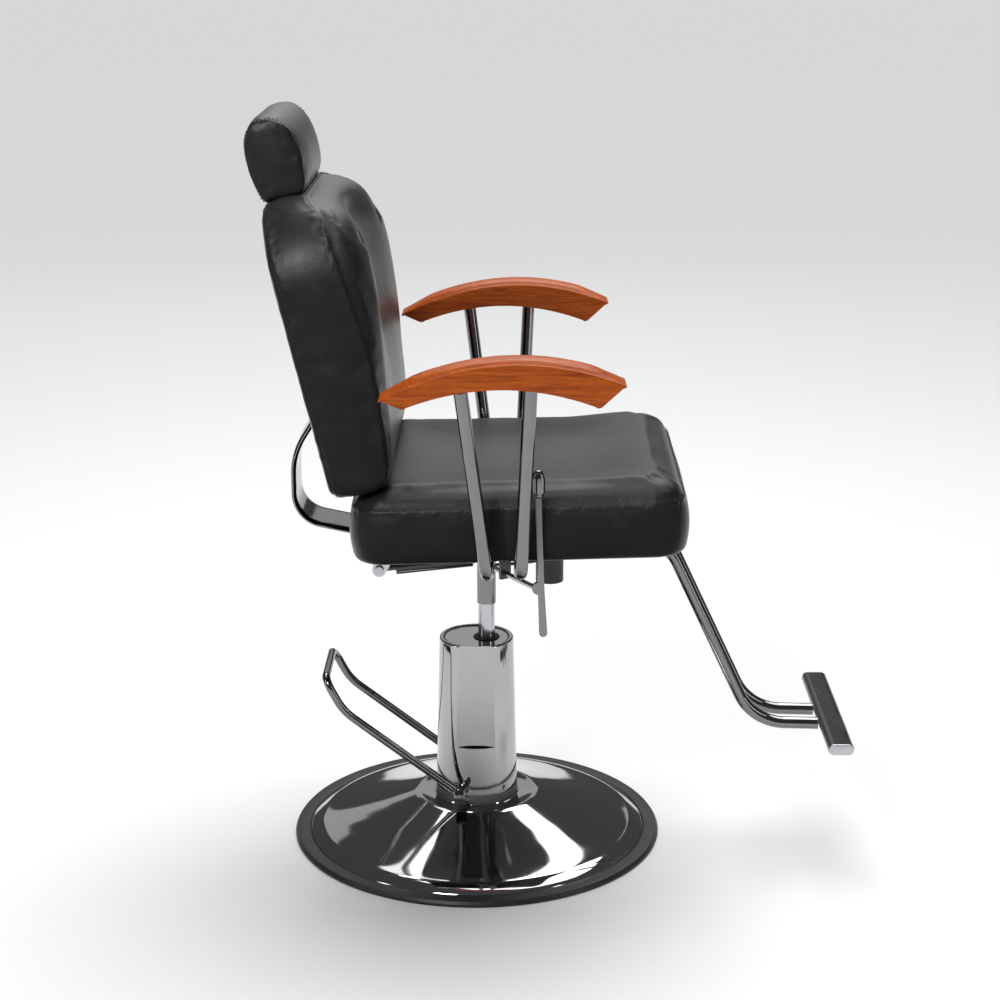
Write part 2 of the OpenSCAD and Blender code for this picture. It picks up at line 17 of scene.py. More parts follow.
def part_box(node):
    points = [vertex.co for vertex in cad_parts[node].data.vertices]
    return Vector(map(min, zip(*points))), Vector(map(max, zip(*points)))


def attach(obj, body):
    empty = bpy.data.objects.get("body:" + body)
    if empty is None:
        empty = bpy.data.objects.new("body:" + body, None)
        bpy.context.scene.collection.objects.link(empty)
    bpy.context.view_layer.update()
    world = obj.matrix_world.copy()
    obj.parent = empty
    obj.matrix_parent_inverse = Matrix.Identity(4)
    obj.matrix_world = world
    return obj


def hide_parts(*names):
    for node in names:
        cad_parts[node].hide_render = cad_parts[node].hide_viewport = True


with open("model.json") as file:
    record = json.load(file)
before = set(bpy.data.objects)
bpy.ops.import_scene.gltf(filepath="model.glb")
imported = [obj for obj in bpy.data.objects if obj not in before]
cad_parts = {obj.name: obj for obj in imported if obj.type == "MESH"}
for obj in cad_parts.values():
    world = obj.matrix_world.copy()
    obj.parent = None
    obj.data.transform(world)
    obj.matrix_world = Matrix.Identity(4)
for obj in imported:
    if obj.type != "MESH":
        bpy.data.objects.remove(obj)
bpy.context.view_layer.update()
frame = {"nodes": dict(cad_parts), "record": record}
nodes = frame["nodes"]
record = frame["record"]
slot_of = {part["node"]: part["material_slot"] for part in record["subparts"]}
joint_of = {joint["name"]: joint for joint in record["behaviour"]["joints"]}

# %% [markdown]
# The camera stands at the chair's right-hand side, a little above it. A long
# lens keeps the near and far armrests almost the same size.

# %% Camera
CAMERA_PLACE = Vector((-3.159, -0.0461, 1.451))
CAMERA_PITCH = math.radians(15.93)
CAMERA_TURN = math.radians(-0.45)
CAMERA_LENS = 76.2

camera_data = bpy.data.cameras.new("camera")
camera_data.lens = CAMERA_LENS
camera_data.sensor_width = 36
camera = bpy.data.objects.new("camera", camera_data)
camera.location = CAMERA_PLACE
camera.rotation_euler = (math.pi / 2 - CAMERA_PITCH, 0, -math.pi / 2 - CAMERA_TURN)
bpy.context.scene.collection.objects.link(camera)
bpy.context.scene.camera = camera
bpy.context.scene.view_settings.view_transform = "Standard"

# %% [markdown]
# A shader is easier to read as arithmetic than as a web of nodes. Value wraps
# one output socket: each operator adds a Math node. Finish holds one material
# and adds any other node from its type, its settings and its inputs.


# %% A small language for materials
class Value:
    def __init__(self, finish, socket):
        self.finish = finish
        self.socket = socket

    def _math(self, operation, first, second):
        return self.finish.node("Math", {"operation": operation}, {0: first, 1: second})

    def __add__(self, other):
        return self._math("ADD", self, other)

    def __sub__(self, other):
        return self._math("SUBTRACT", self, other)

    def __mul__(self, other):
        return self._math("MULTIPLY", self, other)

    def __truediv__(self, other):
        return self._math("DIVIDE", self, other)

    def __pow__(self, other):
        return self._math("POWER", self, other)

    def __rsub__(self, other):
        return self._math("SUBTRACT", other, self)

    def __rtruediv__(self, other):
        return self._math("DIVIDE", other, self)

    __radd__ = __add__
    __rmul__ = __mul__


class Finish:
    def __init__(self, name):
        self.material = bpy.data.materials.new(name)
        self.material.use_nodes = True
        self.tree = self.material.node_tree
        self.shader = self.tree.nodes["Principled BSDF"]

    def node(self, kind, settings=None, values=None, output=0):
        made = self.tree.nodes.new("ShaderNode" + kind)
        for key, setting in (settings or {}).items():
            if key == "stops":
                self._set_stops(made.color_ramp, setting)
            else:
                setattr(made, key, setting)
        for key, value in (values or {}).items():
            self._feed(made.inputs[key], value)
        return Value(self, made.outputs[output])

    def _set_stops(self, ramp, stops):
        while len(ramp.elements) < len(stops):
            ramp.elements.new(0.5)
        for element, (place, colour) in zip(ramp.elements, stops):
            element.position = place
            element.color = (*colour, 1)

    def _feed(self, socket, value):
        if isinstance(value, Value):
            self.tree.links.new(value.socket, socket)
        else:
            socket.default_value = value

    def set(self, **values):
        for key, value in values.items():
            self._feed(self.shader.inputs[key.replace("_", " ").title().replace("Ior", "IOR")], value)

    def place(self, stretch=(1, 1, 1), turn=(0, 0, 0)):
        point = self.node("TexCoord", output="Object")
        return self.node("Mapping", {"vector_type": "TEXTURE"},
                         {"Vector": point, "Scale": stretch, "Rotation": turn})

    def noise(self, vector, scale, detail=3.0, roughness=0.5, distortion=0.0):
        return self.node("TexNoise", {}, {"Vector": vector, "Scale": scale, "Detail": detail,
                                          "Roughness": roughness, "Distortion": distortion}, "Fac")

    def ramp(self, value, *stops):
        return self.node("ValToRGB", {"stops": stops}, {"Fac": value})

    def fade(self, value, low, high, to_low=0.0, to_high=1.0):
        return self.node("MapRange", {"clamp": True}, {"Value": value, "From Min": low, "From Max": high,
                                                       "To Min": to_low, "To Max": to_high})

    def blend(self, factor, first, second):
        made = self.tree.nodes.new("ShaderNodeMix")
        made.data_type = "RGBA"
        self._feed(made.inputs["Factor"], factor)
        for key, colour in ((6, first), (7, second)):
            self._feed(made.inputs[key], colour if isinstance(colour, Value) else (*colour, 1))
        return Value(self, made.outputs[2])

    def bump(self, height, distance, strength=1.0, under=None):
        values = {"Height": height, "Distance": distance, "Strength": strength}
        if under is not None:
            values["Normal"] = under
        return self.node("Bump", {}, values)


finishes = {}

# %% [markdown]
# Leatherette is a black film with a fine pebbled grain. It looks black where
# it faces the room and grey where it mirrors a lamp, so its colour is nearly
# black and the sheen comes from a broad gloss. Near a seam, the film is
# drawn into small puckers: the cushions carry a "seam" attribute for them.


# %% Black leatherette
def make_leather(slot):
    finish = Finish(slot)
    point = finish.place()
    seam = finish.node("Attribute", {"attribute_name": "seam"}, {}, "Fac")
    pebbles = finish.node("TexVoronoi", {"feature": "F1"}, {"Vector": point, "Scale": 620.0}, "Distance")
    fine = finish.noise(point, 1500.0, 2.0)
    creases = finish.noise(finish.place((1.0, 1.0, 1.0)), 42.0, 5.0, 0.62, 0.8)
    puckers = finish.noise(finish.place((1.0, 1.0, 1.6)), 75.0, 2.0, 0.5, 0.4)
    broad = finish.noise(point, 6.0, 2.0)
    wear = finish.noise(point, 24.0, 4.0, 0.6)
    tone = finish.blend(broad, (0.0035, 0.0035, 0.0038), (0.006, 0.006, 0.0063))
    tone = finish.blend(finish.fade(wear, 0.55, 0.75, 0.0, 0.3), tone, (0.012, 0.012, 0.0123))
    rough = finish.fade(wear, 0.3, 0.7, 0.36, 0.46) + seam * 0.05
    soft = finish.bump(creases, 0.0016, 0.35)
    drawn = finish.bump(puckers * seam, 0.0030, 0.75, soft)
    grain = finish.bump(pebbles + fine * 0.3, 0.00018, 0.55, drawn)
    edge_on = finish.node("LayerWeight", {}, {"Blend": 0.5, "Normal": soft}, "Facing")
    finish.set(base_color=tone, roughness=rough, specular_ior_level=0.07, normal=grain,
               coat_weight=finish.fade(edge_on, 0.35, 0.80, 0.04, 1.0), coat_roughness=0.40)
    return finish


finishes["black_leather"] = make_leather("black_leather")

# %% [markdown]
# Chrome plate is a mirror with very fine swirl marks and faint smudges. Both
# go into the roughness, with a bump so low that it only softens reflections.


# %% Metals
def make_metal(slot, tone, rough, smudge, brush=None, wave=0.0):
    finish = Finish(slot)
    point = finish.place()
    smudges = finish.noise(point, 18.0, 4.0, 0.6)
    marks = finish.noise(finish.place(brush or (1.0, 1.0, 1.0)), 900.0, 2.0)
    dull = finish.fade(smudges, 0.35, 0.75, rough, rough + smudge) + marks * (smudge * 0.3)
    shade = finish.blend(finish.fade(smudges, 0.4, 0.8, 0.0, 0.35), tone, tuple(0.82 * c for c in tone))
    relief = finish.bump(marks, 0.00004, 0.25)
    if wave:
        relief = finish.bump(finish.noise(point, 14.0, 1.0), wave, 0.5, relief)
    finish.set(base_color=shade, metallic=1.0, roughness=dull, normal=relief)
    return finish


finishes["chrome_shell"] = make_metal("chrome_shell", (0.42, 0.42, 0.43), 0.03, 0.04, None, 0.0012)
finishes["chrome_tube"] = make_metal("chrome_tube", (0.22, 0.22, 0.225), 0.06, 0.07)
finishes["zinc_steel"] = make_metal("zinc_steel", (0.50, 0.51, 0.53), 0.24, 0.12)
finishes["ground_steel"] = make_metal("ground_steel", (0.50, 0.51, 0.53), 0.14, 0.08, (1.0, 1.0, 0.05))
finishes["bronze"] = make_metal("bronze", (0.55, 0.38, 0.16), 0.28, 0.12)
finishes["ribbed_metal"] = make_metal("ribbed_metal", (0.12, 0.12, 0.125), 0.22, 0.14, (0.04, 1.0, 1.0))

# %% [markdown]
# Rubber, plastic, paint and castings are dielectric finishes. They share one
# recipe: a base tone, a little dust, and a grain whose size and depth differ.


# %% Rubber, plastic, paint and casting
def make_plain(slot, tone, dust_tone, rough, grain_scale, grain_depth, coat=0.0, metallic=0.0):
    finish = Finish(slot)
    point = finish.place()
    dust = finish.noise(point, 30.0, 5.0, 0.6)
    grain = finish.noise(point, grain_scale, 3.0)
    shade = finish.blend(finish.fade(dust, 0.45, 0.8, 0.0, 0.5), tone, dust_tone)
    finish.set(base_color=shade, roughness=finish.fade(dust, 0.3, 0.8, rough - 0.06, rough + 0.08),
               metallic=metallic, coat_weight=coat, normal=finish.bump(grain, grain_depth, 0.5))
    return finish


finishes["trim_rubber"] = make_plain("trim_rubber", (0.012, 0.012, 0.016), (0.03, 0.03, 0.034), 0.42,
                                     500.0, 0.0002)
finishes["seal_rubber"] = make_plain("seal_rubber", (0.01, 0.01, 0.01), (0.02, 0.02, 0.02), 0.5, 600.0,
                                     0.0001)
finishes["black_plastic"] = make_plain("black_plastic", (0.012, 0.012, 0.012), (0.03, 0.03, 0.03), 0.45,
                                       900.0, 0.0001)
finishes["black_paint"] = make_plain("black_paint", (0.008, 0.008, 0.009), (0.02, 0.02, 0.02), 0.22,
                                     120.0, 0.0001, 0.5)
finishes["dark_steel"] = make_plain("dark_steel", (0.02, 0.02, 0.021), (0.04, 0.038, 0.036), 0.4, 260.0,
                                    0.0001, 0.2)
finishes["cast_body"] = make_plain("cast_body", (0.16, 0.165, 0.17), (0.08, 0.078, 0.075), 0.5, 300.0,
                                   0.0004, 0, 0.6)

# %% [markdown]
# The armrests are solid orange-brown hardwood under clear gloss varnish. The
# grain is noise stretched far along the arm (Y), with darker rings bent into
# it and short dark pores. The varnish is a coat, so it stays smooth on top.


# %% Wood
def make_wood(slot, light, mid, dark, gloss, coat):
    finish = Finish(slot)
    bent = finish.noise(finish.place((1.0, 5.0, 1.0)), 9.0, 2.0)
    rings = finish.noise(finish.place((1.0, 14.0, 1.0)), 90.0, 4.0, 0.6, 0.9) * 0.7 + bent * 0.45
    streaks = finish.noise(finish.place((1.0, 30.0, 1.0)), 420.0, 3.0, 0.6)
    pores = finish.fade(finish.noise(finish.place((1.0, 22.0, 1.0)), 900.0, 1.0), 0.62, 0.7)
    tone = finish.ramp(rings, (0.30, dark), (0.46, mid), (0.60, light), (0.74, mid))
    tone = finish.blend(finish.fade(streaks, 0.45, 0.75, 0.0, 0.55), tone, dark)
    tone = finish.blend(pores * 0.5, tone, tuple(0.4 * c for c in dark))
    finish.set(base_color=tone, roughness=finish.fade(streaks, 0.3, 0.7, gloss, gloss + 0.12),
               coat_weight=coat, coat_roughness=0.16, specular_ior_level=0.16,
               normal=finish.bump(streaks - pores * 0.5, 0.0002, 0.3))
    return finish


finishes["varnished_wood"] = make_wood("varnished_wood", (0.52, 0.104, 0.008), (0.35, 0.052, 0.003),
                                       (0.10, 0.012, 0.001), 0.32, 0.06)
finishes["plywood"] = make_wood("plywood", (0.62, 0.45, 0.27), (0.55, 0.38, 0.21), (0.40, 0.26, 0.14),
                                0.6, 0.0)

# The seat board shows only from below, where a chair has a black dust cover.
for name, node in nodes.items():
    node.data.materials.clear()
    finish = "black_paint" if name == "seat_board" else slot_of[name]
    node.data.materials.append(finishes[finish].material)
print("finishes:", len(finishes), "on", len(nodes), "frame nodes")

# %% [markdown]
# The floor is one large disc, evenly lit by a soft sun, so it stays pale out
# to the horizon. The room above it is dark. Chrome shows mostly what is round
# it, so a few tall lamps are placed to draw bright streaks between the darks,
# and a broad lamp overhead gives the seat its sheen. Black leatherette needs
# much more light than chrome to shine, so two lamps light the cushions only.

# %% Floor and lamps
ground = bmesh.new()
bmesh.ops.create_circle(ground, cap_ends=True, segments=96, radius=260)
floor_mesh = bpy.data.meshes.new("floor")
ground.to_mesh(floor_mesh)
ground.free()
floor = bpy.data.objects.new("floor", floor_mesh)
bpy.context.scene.collection.objects.link(floor)
paper = Finish("studio_paper")
paper.set(base_color=(0.88, 0.88, 0.88, 1), roughness=0.95, specular_ior_level=0.0)
floor_mesh.materials.append(paper.material)

world = bpy.data.worlds.new("studio")
world.use_nodes = True
world.node_tree.nodes["Background"].inputs["Color"].default_value = (0.92, 0.95, 1.0, 1)
world.node_tree.nodes["Background"].inputs["Strength"].default_value = 0.10
bpy.context.scene.world = world

sun_data = bpy.data.lights.new("sun", "SUN")
sun_data.energy = 2.3
sun_data.angle = math.radians(50)
sun = bpy.data.objects.new("sun", sun_data)
sun.rotation_euler = (math.radians(8), math.radians(22), 0)
bpy.context.scene.collection.objects.link(sun)


def lamp(name, place, aim, size, power):
    data = bpy.data.lights.new(name, "AREA")
    data.shape = "RECTANGLE"
    data.size, data.size_y = size
    data.energy = power
    made = bpy.data.objects.new(name, data)
    made.location = place
    made.rotation_euler = (Vector(aim) - Vector(place)).to_track_quat("-Z", "Y").to_euler()
    bpy.context.scene.collection.objects.link(made)
    return made


lamp("lamp_over", (1.3, -0.1, 3.0), (0.1, -0.1, 0.5), (2.0, 2.6), 34)
lamp("lamp_key", (-2.5, 1.1, 2.8), (-0.24, 0.3, 0.9), (0.8, 0.8), 36)
lamp("lamp_front", (-1.6, -3.0, 1.6), (0, 0, 0.4), (0.35, 2.4), 12)
lamp("lamp_rear", (-1.2, 3.2, 1.6), (0, 0, 0.4), (0.35, 2.4), 10)
lamp("lamp_far", (4.8, 0.3, 2.3), (0, 0, 0.5), (3.4, 1.3), 7)
upholstery = bpy.data.collections.new("upholstery")
for soft_lamp in (lamp("lamp_shoulder", (-2.7, 1.2, 2.5), (-0.24, 0.3, 0.9), (1.0, 1.0), 190),
                  lamp("lamp_edge", (-1.0, -0.1, 3.3), (-0.1, 0, 0.6), (0.5, 2.4), 80)):
    soft_lamp.light_linking.receiver_collection = upholstery

# %% [markdown]
# Every new piece ends the same way: its mesh becomes an object, which rides on
# a body, stands for its frame nodes and takes its finish from a slot. Edges
# sharper than a set angle stay crisp, and all others are shaded smooth.


# %% Finishing a piece
def piece(name, bm, body, slot, *replaced, crisp=40.0):
    mesh = bpy.data.meshes.new(name)
    bm.to_mesh(mesh)
    bm.free()
    mesh.shade_smooth()
    mesh.set_sharp_from_angle(angle=math.radians(crisp))
    mesh.materials.append(finishes[slot].material)
    made = bpy.data.objects.new(name, mesh)
    bpy.context.scene.collection.objects.link(made)
    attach(made, body)
    if replaced:
        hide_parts(*replaced)
    print(name, len(mesh.polygons), "faces on", body)
    return made


# %% [markdown]
# A turned piece is drawn as half of its section, radius against height, and
# spun a full turn. The spin's two ends are merged, and so is any point on the
# axis, which closes the poles.


# %% Turned pieces
def turned(bm, section, centre, steps=128):
    verts = [bm.verts.new((r, 0, z)) for r, z in section]
    edges = [bm.edges.new(pair) for pair in zip(verts, verts[1:])]
    bmesh.ops.spin(bm, geom=verts + edges, cent=(0, 0, 0), axis=(0, 0, 1), angle=2 * math.pi,
                   steps=steps, use_merge=True)
    bmesh.ops.remove_doubles(bm, verts=bm.verts, dist=1e-6)
    bmesh.ops.recalc_face_normals(bm, faces=bm.faces)
    bmesh.ops.translate(bm, verts=bm.verts, vec=centre)


def rounded(points, radius, steps=5):
    """The [across, up] points with each inner corner turned into an arc."""
    result = [points[0]]
    for a, b, c in zip(points, points[1:], points[2:]):
        result += corner_arc(Vector(a), Vector(b), Vector(c), radius, steps)
    return result + [points[-1]]


def corner_arc(a, b, c, radius, steps):
    """Points on the arc that rounds the corner b between a and c."""
    u, v = (a - b).normalized(), (c - b).normalized()
    half = math.acos(max(-1, min(1, u.dot(v)))) / 2
    if half > 1.5:
        return [b]
    reach = min(radius / math.tan(half), 0.49 * min((a - b).length, (c - b).length))
    radius = reach * math.tan(half)
    centre = b + (u + v).normalized() * radius / math.sin(half)
    p, q = b + u * reach - centre, b + v * reach - centre
    turn = math.pi - 2 * half
    return [centre + (math.sin((1 - i / steps) * turn) * p + math.sin(i / steps * turn) * q) / math.sin(turn)
            for i in range(steps + 1)]


# %% [markdown]
# The base is a pressed steel shell: a narrow band, a crease, and a dome that
# flares up to a flat collar. A real pressing has soft edges, but here the
# section is spun from its points as given, without rounding its corners. The
# rubber ring grips the shell's rim.

# %% Base shell and trim ring
ring_low, ring_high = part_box("base_trim_ring")
base_centre = ((ring_low + ring_high) / 2) if isinstance(ring_low, Vector) else Vector(
    [(a + b) / 2 for a, b in zip(ring_low, ring_high)])
base_centre = Vector((base_centre[0], base_centre[1], 0))
base_r = (ring_high[0] - ring_low[0]) / 2
dome_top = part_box("base_dome")[1][2]
rim_r = base_r - 0.0245
crease_r, crease_z, collar_r = rim_r - 0.018, 0.018, 0.095
shell_wall = 0.0025


def flare(r):
    return crease_z + (dome_top - crease_z) * ((crease_r - r) / (crease_r - collar_r)) ** 1.2


slope_rings = 28
top_side = [(rim_r - 0.0003, 0.0085), (rim_r - 0.003, 0.0120)]
top_side += [(crease_r + 0.002, crease_z - 0.0015)]
top_side += [(crease_r + (collar_r - crease_r) * i / slope_rings,
              flare(crease_r + (collar_r - crease_r) * i / slope_rings)) for i in range(slope_rings + 1)]
top_side += [(collar_r - 0.004, dome_top + 0.0002), (collar_r - 0.008, dome_top - 0.0016),
             (0.067, dome_top - 0.0016), (0.066, dome_top), (0.040, dome_top)]
under_side = [(r, z - shell_wall) for r, z in reversed(top_side)]
bm = bmesh.new()
turned(bm, top_side + under_side + [top_side[0]], base_centre, 160)
piece("base_shell", bm, "base", "chrome_shell", "base_dome", crisp=35)

ring_section = rounded([(rim_r, 0.0), (base_r, 0.0), (base_r, 0.0040), (base_r - 0.0035, 0.0088),
                        (base_r - 0.012, 0.0094), (rim_r + 0.002, 0.0092), (rim_r, 0.0078)], 0.0016)
bm = bmesh.new()
turned(bm, [tuple(p) for p in ring_section] + [(rim_r, 0.0)], base_centre, 160)
piece("rubber_ring", bm, "base", "trim_rubber", "base_trim_ring")

# %% [markdown]
# The pump cover is a tapered can with a flat pressed down its right side. The
# can is spun, and cutters are taken out of it: a wedge for the flat, a slot
# for the pedal axle and a hole for the ram. A bevel then rounds every edge.

# %% Pump cover
cover_low, cover_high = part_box("pump_cover")
cover_foot_r = (cover_high[0] - cover_low[0]) / 2
cover_top_r = cover_foot_r - 0.006
cover_z0, cover_z1 = cover_low[2], cover_high[2]
axle_low, axle_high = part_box("pedal_axle")
axle_y, axle_z = (axle_low[1] + axle_high[1]) / 2, (axle_low[2] + axle_high[2]) / 2


def cutter(bm_cut, name):
    bmesh.ops.recalc_face_normals(bm_cut, faces=bm_cut.faces)
    mesh = bpy.data.meshes.new(name)
    bm_cut.to_mesh(mesh)
    bm_cut.free()
    made = bpy.data.objects.new(name, mesh)
    bpy.context.scene.collection.objects.link(made)
    return made


def apply_modifiers(obj):
    shown = bpy.context.evaluated_depsgraph_get()
    mesh = bpy.data.meshes.new_from_object(obj.evaluated_get(shown), depsgraph=shown)
    obj.modifiers.clear()
    obj.data = mesh
    return mesh


def cut(obj, cutters):
    for tool in cutters:
        step = obj.modifiers.new("cut", "BOOLEAN")
        step.operation = "DIFFERENCE"
        step.solver = "EXACT"
        step.object = tool
    apply_modifiers(obj)
    for tool in cutters:
        bpy.data.objects.remove(tool)


def cover_cone(shrink, top):
    """The can as one closed solid, that much smaller than its outside."""
    bm = bmesh.new()
    foot, rim = cover_foot_r - shrink, cover_top_r - shrink
    section = [(0.0, cover_z0 - 3 * shrink), (foot, cover_z0 - 3 * shrink), (rim, top)]
    if not shrink:
        section += [(0.0525, top), (0.0495, top - 0.0022)]
    section.append((0.0, section[-1][1]))
    arcs = rounded(section[1:-1], 0.004)
    turned(bm, [section[0]] + [tuple(p) for p in arcs] + [section[-1]],
           (base_centre[0], base_centre[1], 0), 128)
    return bm


def flat_cutter(shift, name):
    bm = bmesh.new()
    bmesh.ops.create_cube(bm, size=1, matrix=Matrix.Translation((shift - 0.0514, base_centre[1], cover_z1))
                          @ Matrix.Rotation(0.8 * math.atan(0.006 / (cover_z1 - cover_z0)), 4, "Y")
                          @ Matrix.Translation((-0.02, 0, panel_foot_z - cover_z1 + 0.125))
                          @ Matrix.Diagonal((0.04, 0.12, 0.25, 1)))
    return cutter(bm, name)


panel_foot_z = 0.159
cover = piece("pump_cover_shell", cover_cone(0, cover_z1), "base", "chrome_shell", "pump_cover", crisp=24)
cavity = cutter(cover_cone(0.002, cover_z1 - 0.0045), "cavity")
cut(cavity, [flat_cutter(0.002, "inner_flat")])
slot_cut, foot_cut, bore = bmesh.new(), bmesh.new(), bmesh.new()
bmesh.ops.create_cone(slot_cut, cap_ends=True, segments=48, radius1=0.009, radius2=0.009, depth=0.2,
                      matrix=Matrix.Translation((0, axle_y, axle_z)) @ Matrix.Rotation(math.pi / 2, 4, "Y"))
bmesh.ops.create_cube(foot_cut, size=1,
                      matrix=Matrix.Translation((0, axle_y, (cover_z0 + axle_z) / 2 - 0.002))
                      @ Matrix.Diagonal((0.2, 0.018, axle_z - cover_z0 + 0.004, 1)))
bmesh.ops.create_cone(bore, cap_ends=True, segments=96, radius1=0.021, radius2=0.021, depth=0.06,
                      matrix=Matrix.Translation((0, 0, cover_z1)))
cut(cover, [flat_cutter(0, "flat"), cavity, cutter(slot_cut, "slot"), cutter(foot_cut, "foot_slot"),
            cutter(bore, "bore")])
cover.data.shade_smooth()
cover.data.set_sharp_from_angle(angle=math.radians(24))
soften = cover.modifiers.new("edges", "BEVEL")
soften.width = 0.0009
soften.segments = 3
soften.limit_method = "ANGLE"
soften.angle_limit = math.radians(20)

# %% [markdown]
# Bent tubes are swept: a circle is placed at each point of a path whose
# corners are arcs, and neighbouring circles are bridged. The circle's "about"
# direction never lies along the path, so the tube doesn't twist.


# %% Bent tubes
def path_3d(corners, bends, steps=14):
    spots = [Vector(c) for c in corners]
    result = [spots[0]]
    for (a, b, c), bend in zip(zip(spots, spots[1:], spots[2:]), bends):
        result += corner_arc(a, b, c, bend, steps)
    return result + [spots[-1]]


def swept(bm, path, about, radius, sides=28, squeeze=None):
    rings = []
    for i, spot in enumerate(path):
        along = (path[min(i + 1, len(path) - 1)] - path[max(i - 1, 0)]).normalized()
        side = along.cross(Vector(about)).normalized()
        other = along.cross(side)
        turn = Matrix((side, other, along)).transposed().to_4x4()
        size = radius * (squeeze(i) if squeeze else 1)
        made = bmesh.ops.create_circle(bm, cap_ends=i in (0, len(path) - 1), segments=sides, radius=size,
                                       matrix=Matrix.Translation(spot) @ turn)
        rings.append(ring_edges(made["verts"]))
    for one, two in zip(rings, rings[1:]):
        bmesh.ops.bridge_loops(bm, edges=one + two)
    bmesh.ops.recalc_face_normals(bm, faces=bm.faces)


def ring_edges(verts):
    ring = set(verts)
    return list({e for v in verts for e in v.link_edges if e.verts[0] in ring and e.verts[1] in ring})


rail_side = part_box("seat_rails")[1][0]
post_r = 0.010
arm_x = (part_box("left_armrest")[0][0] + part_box("left_armrest")[1][0]) / 2
post_tops = [(0.031, 0.792), (-0.066, 0.796)]
post_feet = [(-0.005, 0.511), (-0.053, 0.5125)]
for word, side in (("right", -1), ("left", 1)):
    bm = bmesh.new()
    for (top_y, top_z), (foot_y, foot_z) in zip(post_tops, post_feet):
        swept(bm, path_3d([(side * (arm_x - 0.002), top_y, top_z), (side * 0.272, foot_y, foot_z),
                           (side * rail_side, foot_y, foot_z)], [0.024]), (0, 1, 0), post_r)
    piece(word + "_posts", bm, "seat", "chrome_tube", word + "_arm_posts")

bm = bmesh.new()
for side in (-1, 1):
    swept(bm, path_3d([(side * 0.030, -0.150, 0.494), (side * 0.030, -0.277, 0.498),
                       (side * 0.030, -0.421, 0.194), (side * 0.030, -0.524, 0.192)],
                      [0.070, 0.105]), (1, 0, 0), 0.0095)
piece("footrest_tubes", bm, "seat", "chrome_tube", "foot_tubes")

# %% [markdown]
# The pedal is one rod bent into a loop. Its ends go into two knuckles on the
# pump's axle, which are rounded barrels here, each with a set screw.

# %% Pedal
pedal_rise, pedal_kick, pedal_reach, pedal_x = math.radians(37.4), math.radians(25), 0.292, 0.0715


def up_rear(along, turn):
    return Vector((0, along * math.cos(turn), along * math.sin(turn)))


start = Vector((0, axle_y, axle_z)) + up_rear(0.0081, pedal_rise)
knee = Vector((0, axle_y, axle_z)) + up_rear(pedal_reach * 0.78, pedal_rise)
tip = knee + up_rear(pedal_reach * 0.20, pedal_rise + pedal_kick)
sideways = Vector((pedal_x, 0, 0))
mean_turn = pedal_rise + pedal_kick / 2
bm = bmesh.new()
swept(bm, path_3d([start - sideways, knee - sideways, tip - sideways, tip + sideways, knee + sideways,
                   start + sideways], [0.090, 0.020, 0.020, 0.090]),
      (0, -math.sin(mean_turn), math.cos(mean_turn)), 0.0065)
piece("pedal_loop", bm, "pedal", "chrome_tube", "pedal_rod")

bm = bmesh.new()
for side in (-1, 1):
    part = bmesh.new()
    barrel = rounded([(0.0, -0.0085), (0.0105, -0.0085), (0.0105, 0.0085), (0.0, 0.0085)], 0.003)
    turned(part, [tuple(p) for p in barrel], (0, 0, 0), 48)
    turned_mesh = bpy.data.meshes.new("barrel")
    bmesh.ops.transform(part, matrix=Matrix.Translation((side * pedal_x, axle_y, axle_z))
                        @ Matrix.Rotation(math.pi / 2, 4, "Y"), verts=part.verts)
    part.to_mesh(turned_mesh)
    part.free()
    bm.from_mesh(turned_mesh)
    bmesh.ops.create_cone(bm, cap_ends=True, segments=24, radius1=0.0032, radius2=0.0026, depth=0.004,
                          matrix=Matrix.Translation((side * (pedal_x + 0.0096), axle_y, axle_z))
                          @ Matrix.Rotation(side * math.pi / 2, 4, "Y"))
piece("pedal_barrels", bm, "pedal", "chrome_tube", "pedal_knuckles")

# %% [markdown]
# The strap behind the back is one flat chrome bar bent into a C. A small
# rounded rectangle is swept along the same bends as the tubes, and the pivot
# barrel is added at its lower end.

# %% Back strap
hinge = joint_of["back_recline"]["pos_m"]
lean_axis = joint_of["headrest_height"]["axis"]
lean = math.atan2(lean_axis[1], lean_axis[2])
back_origin = Vector((0, 0.212, 0.616))
on_back = Matrix.Translation(back_origin) @ Matrix.Rotation(-lean, 4, "X")
strap_half, strap_t = 0.047, 0.008
bend_point = Vector((0, 0.2415, 0.717))
strap_corners = [Vector((0, hinge[1] + 0.001, hinge[2] + 0.007)), Vector((0, 0.212, 0.512)),
                 Vector((0, 0.294, 0.529)), Vector((0, 0.294, 0.632)), bend_point,
                 bend_point + 0.110 * Vector((0, math.sin(lean), math.cos(lean)))]
strap_path = path_3d(strap_corners, [0.060, 0.080, 0.110, 0.042], 18)
bm = bmesh.new()
previous = None
for i, spot in enumerate(strap_path):
    along = (strap_path[min(i + 1, len(strap_path) - 1)] - strap_path[max(i - 1, 0)]).normalized()
    across = Vector((1, 0, 0))
    turn = Matrix((across, along.cross(across), along)).transposed().to_4x4()
    made = bmesh.ops.create_circle(bm, cap_ends=i in (0, len(strap_path) - 1), segments=24, radius=1.0)
    for v in made["verts"]:
        edge_x = max(-1, min(1, v.co.x / 0.92)) * (strap_half - strap_t / 2)
        round_x = math.copysign(max(0, abs(v.co.x) - 0.92) / 0.08, v.co.x) * strap_t / 2
        v.co = Vector((edge_x + round_x, max(-1, min(1, v.co.y / 0.38)) * strap_t / 2, 0))
    bmesh.ops.transform(bm, matrix=Matrix.Translation(spot) @ turn, verts=made["verts"])
    ring = ring_edges(made["verts"])
    if previous:
        bmesh.ops.bridge_loops(bm, edges=previous + ring)
    previous = ring
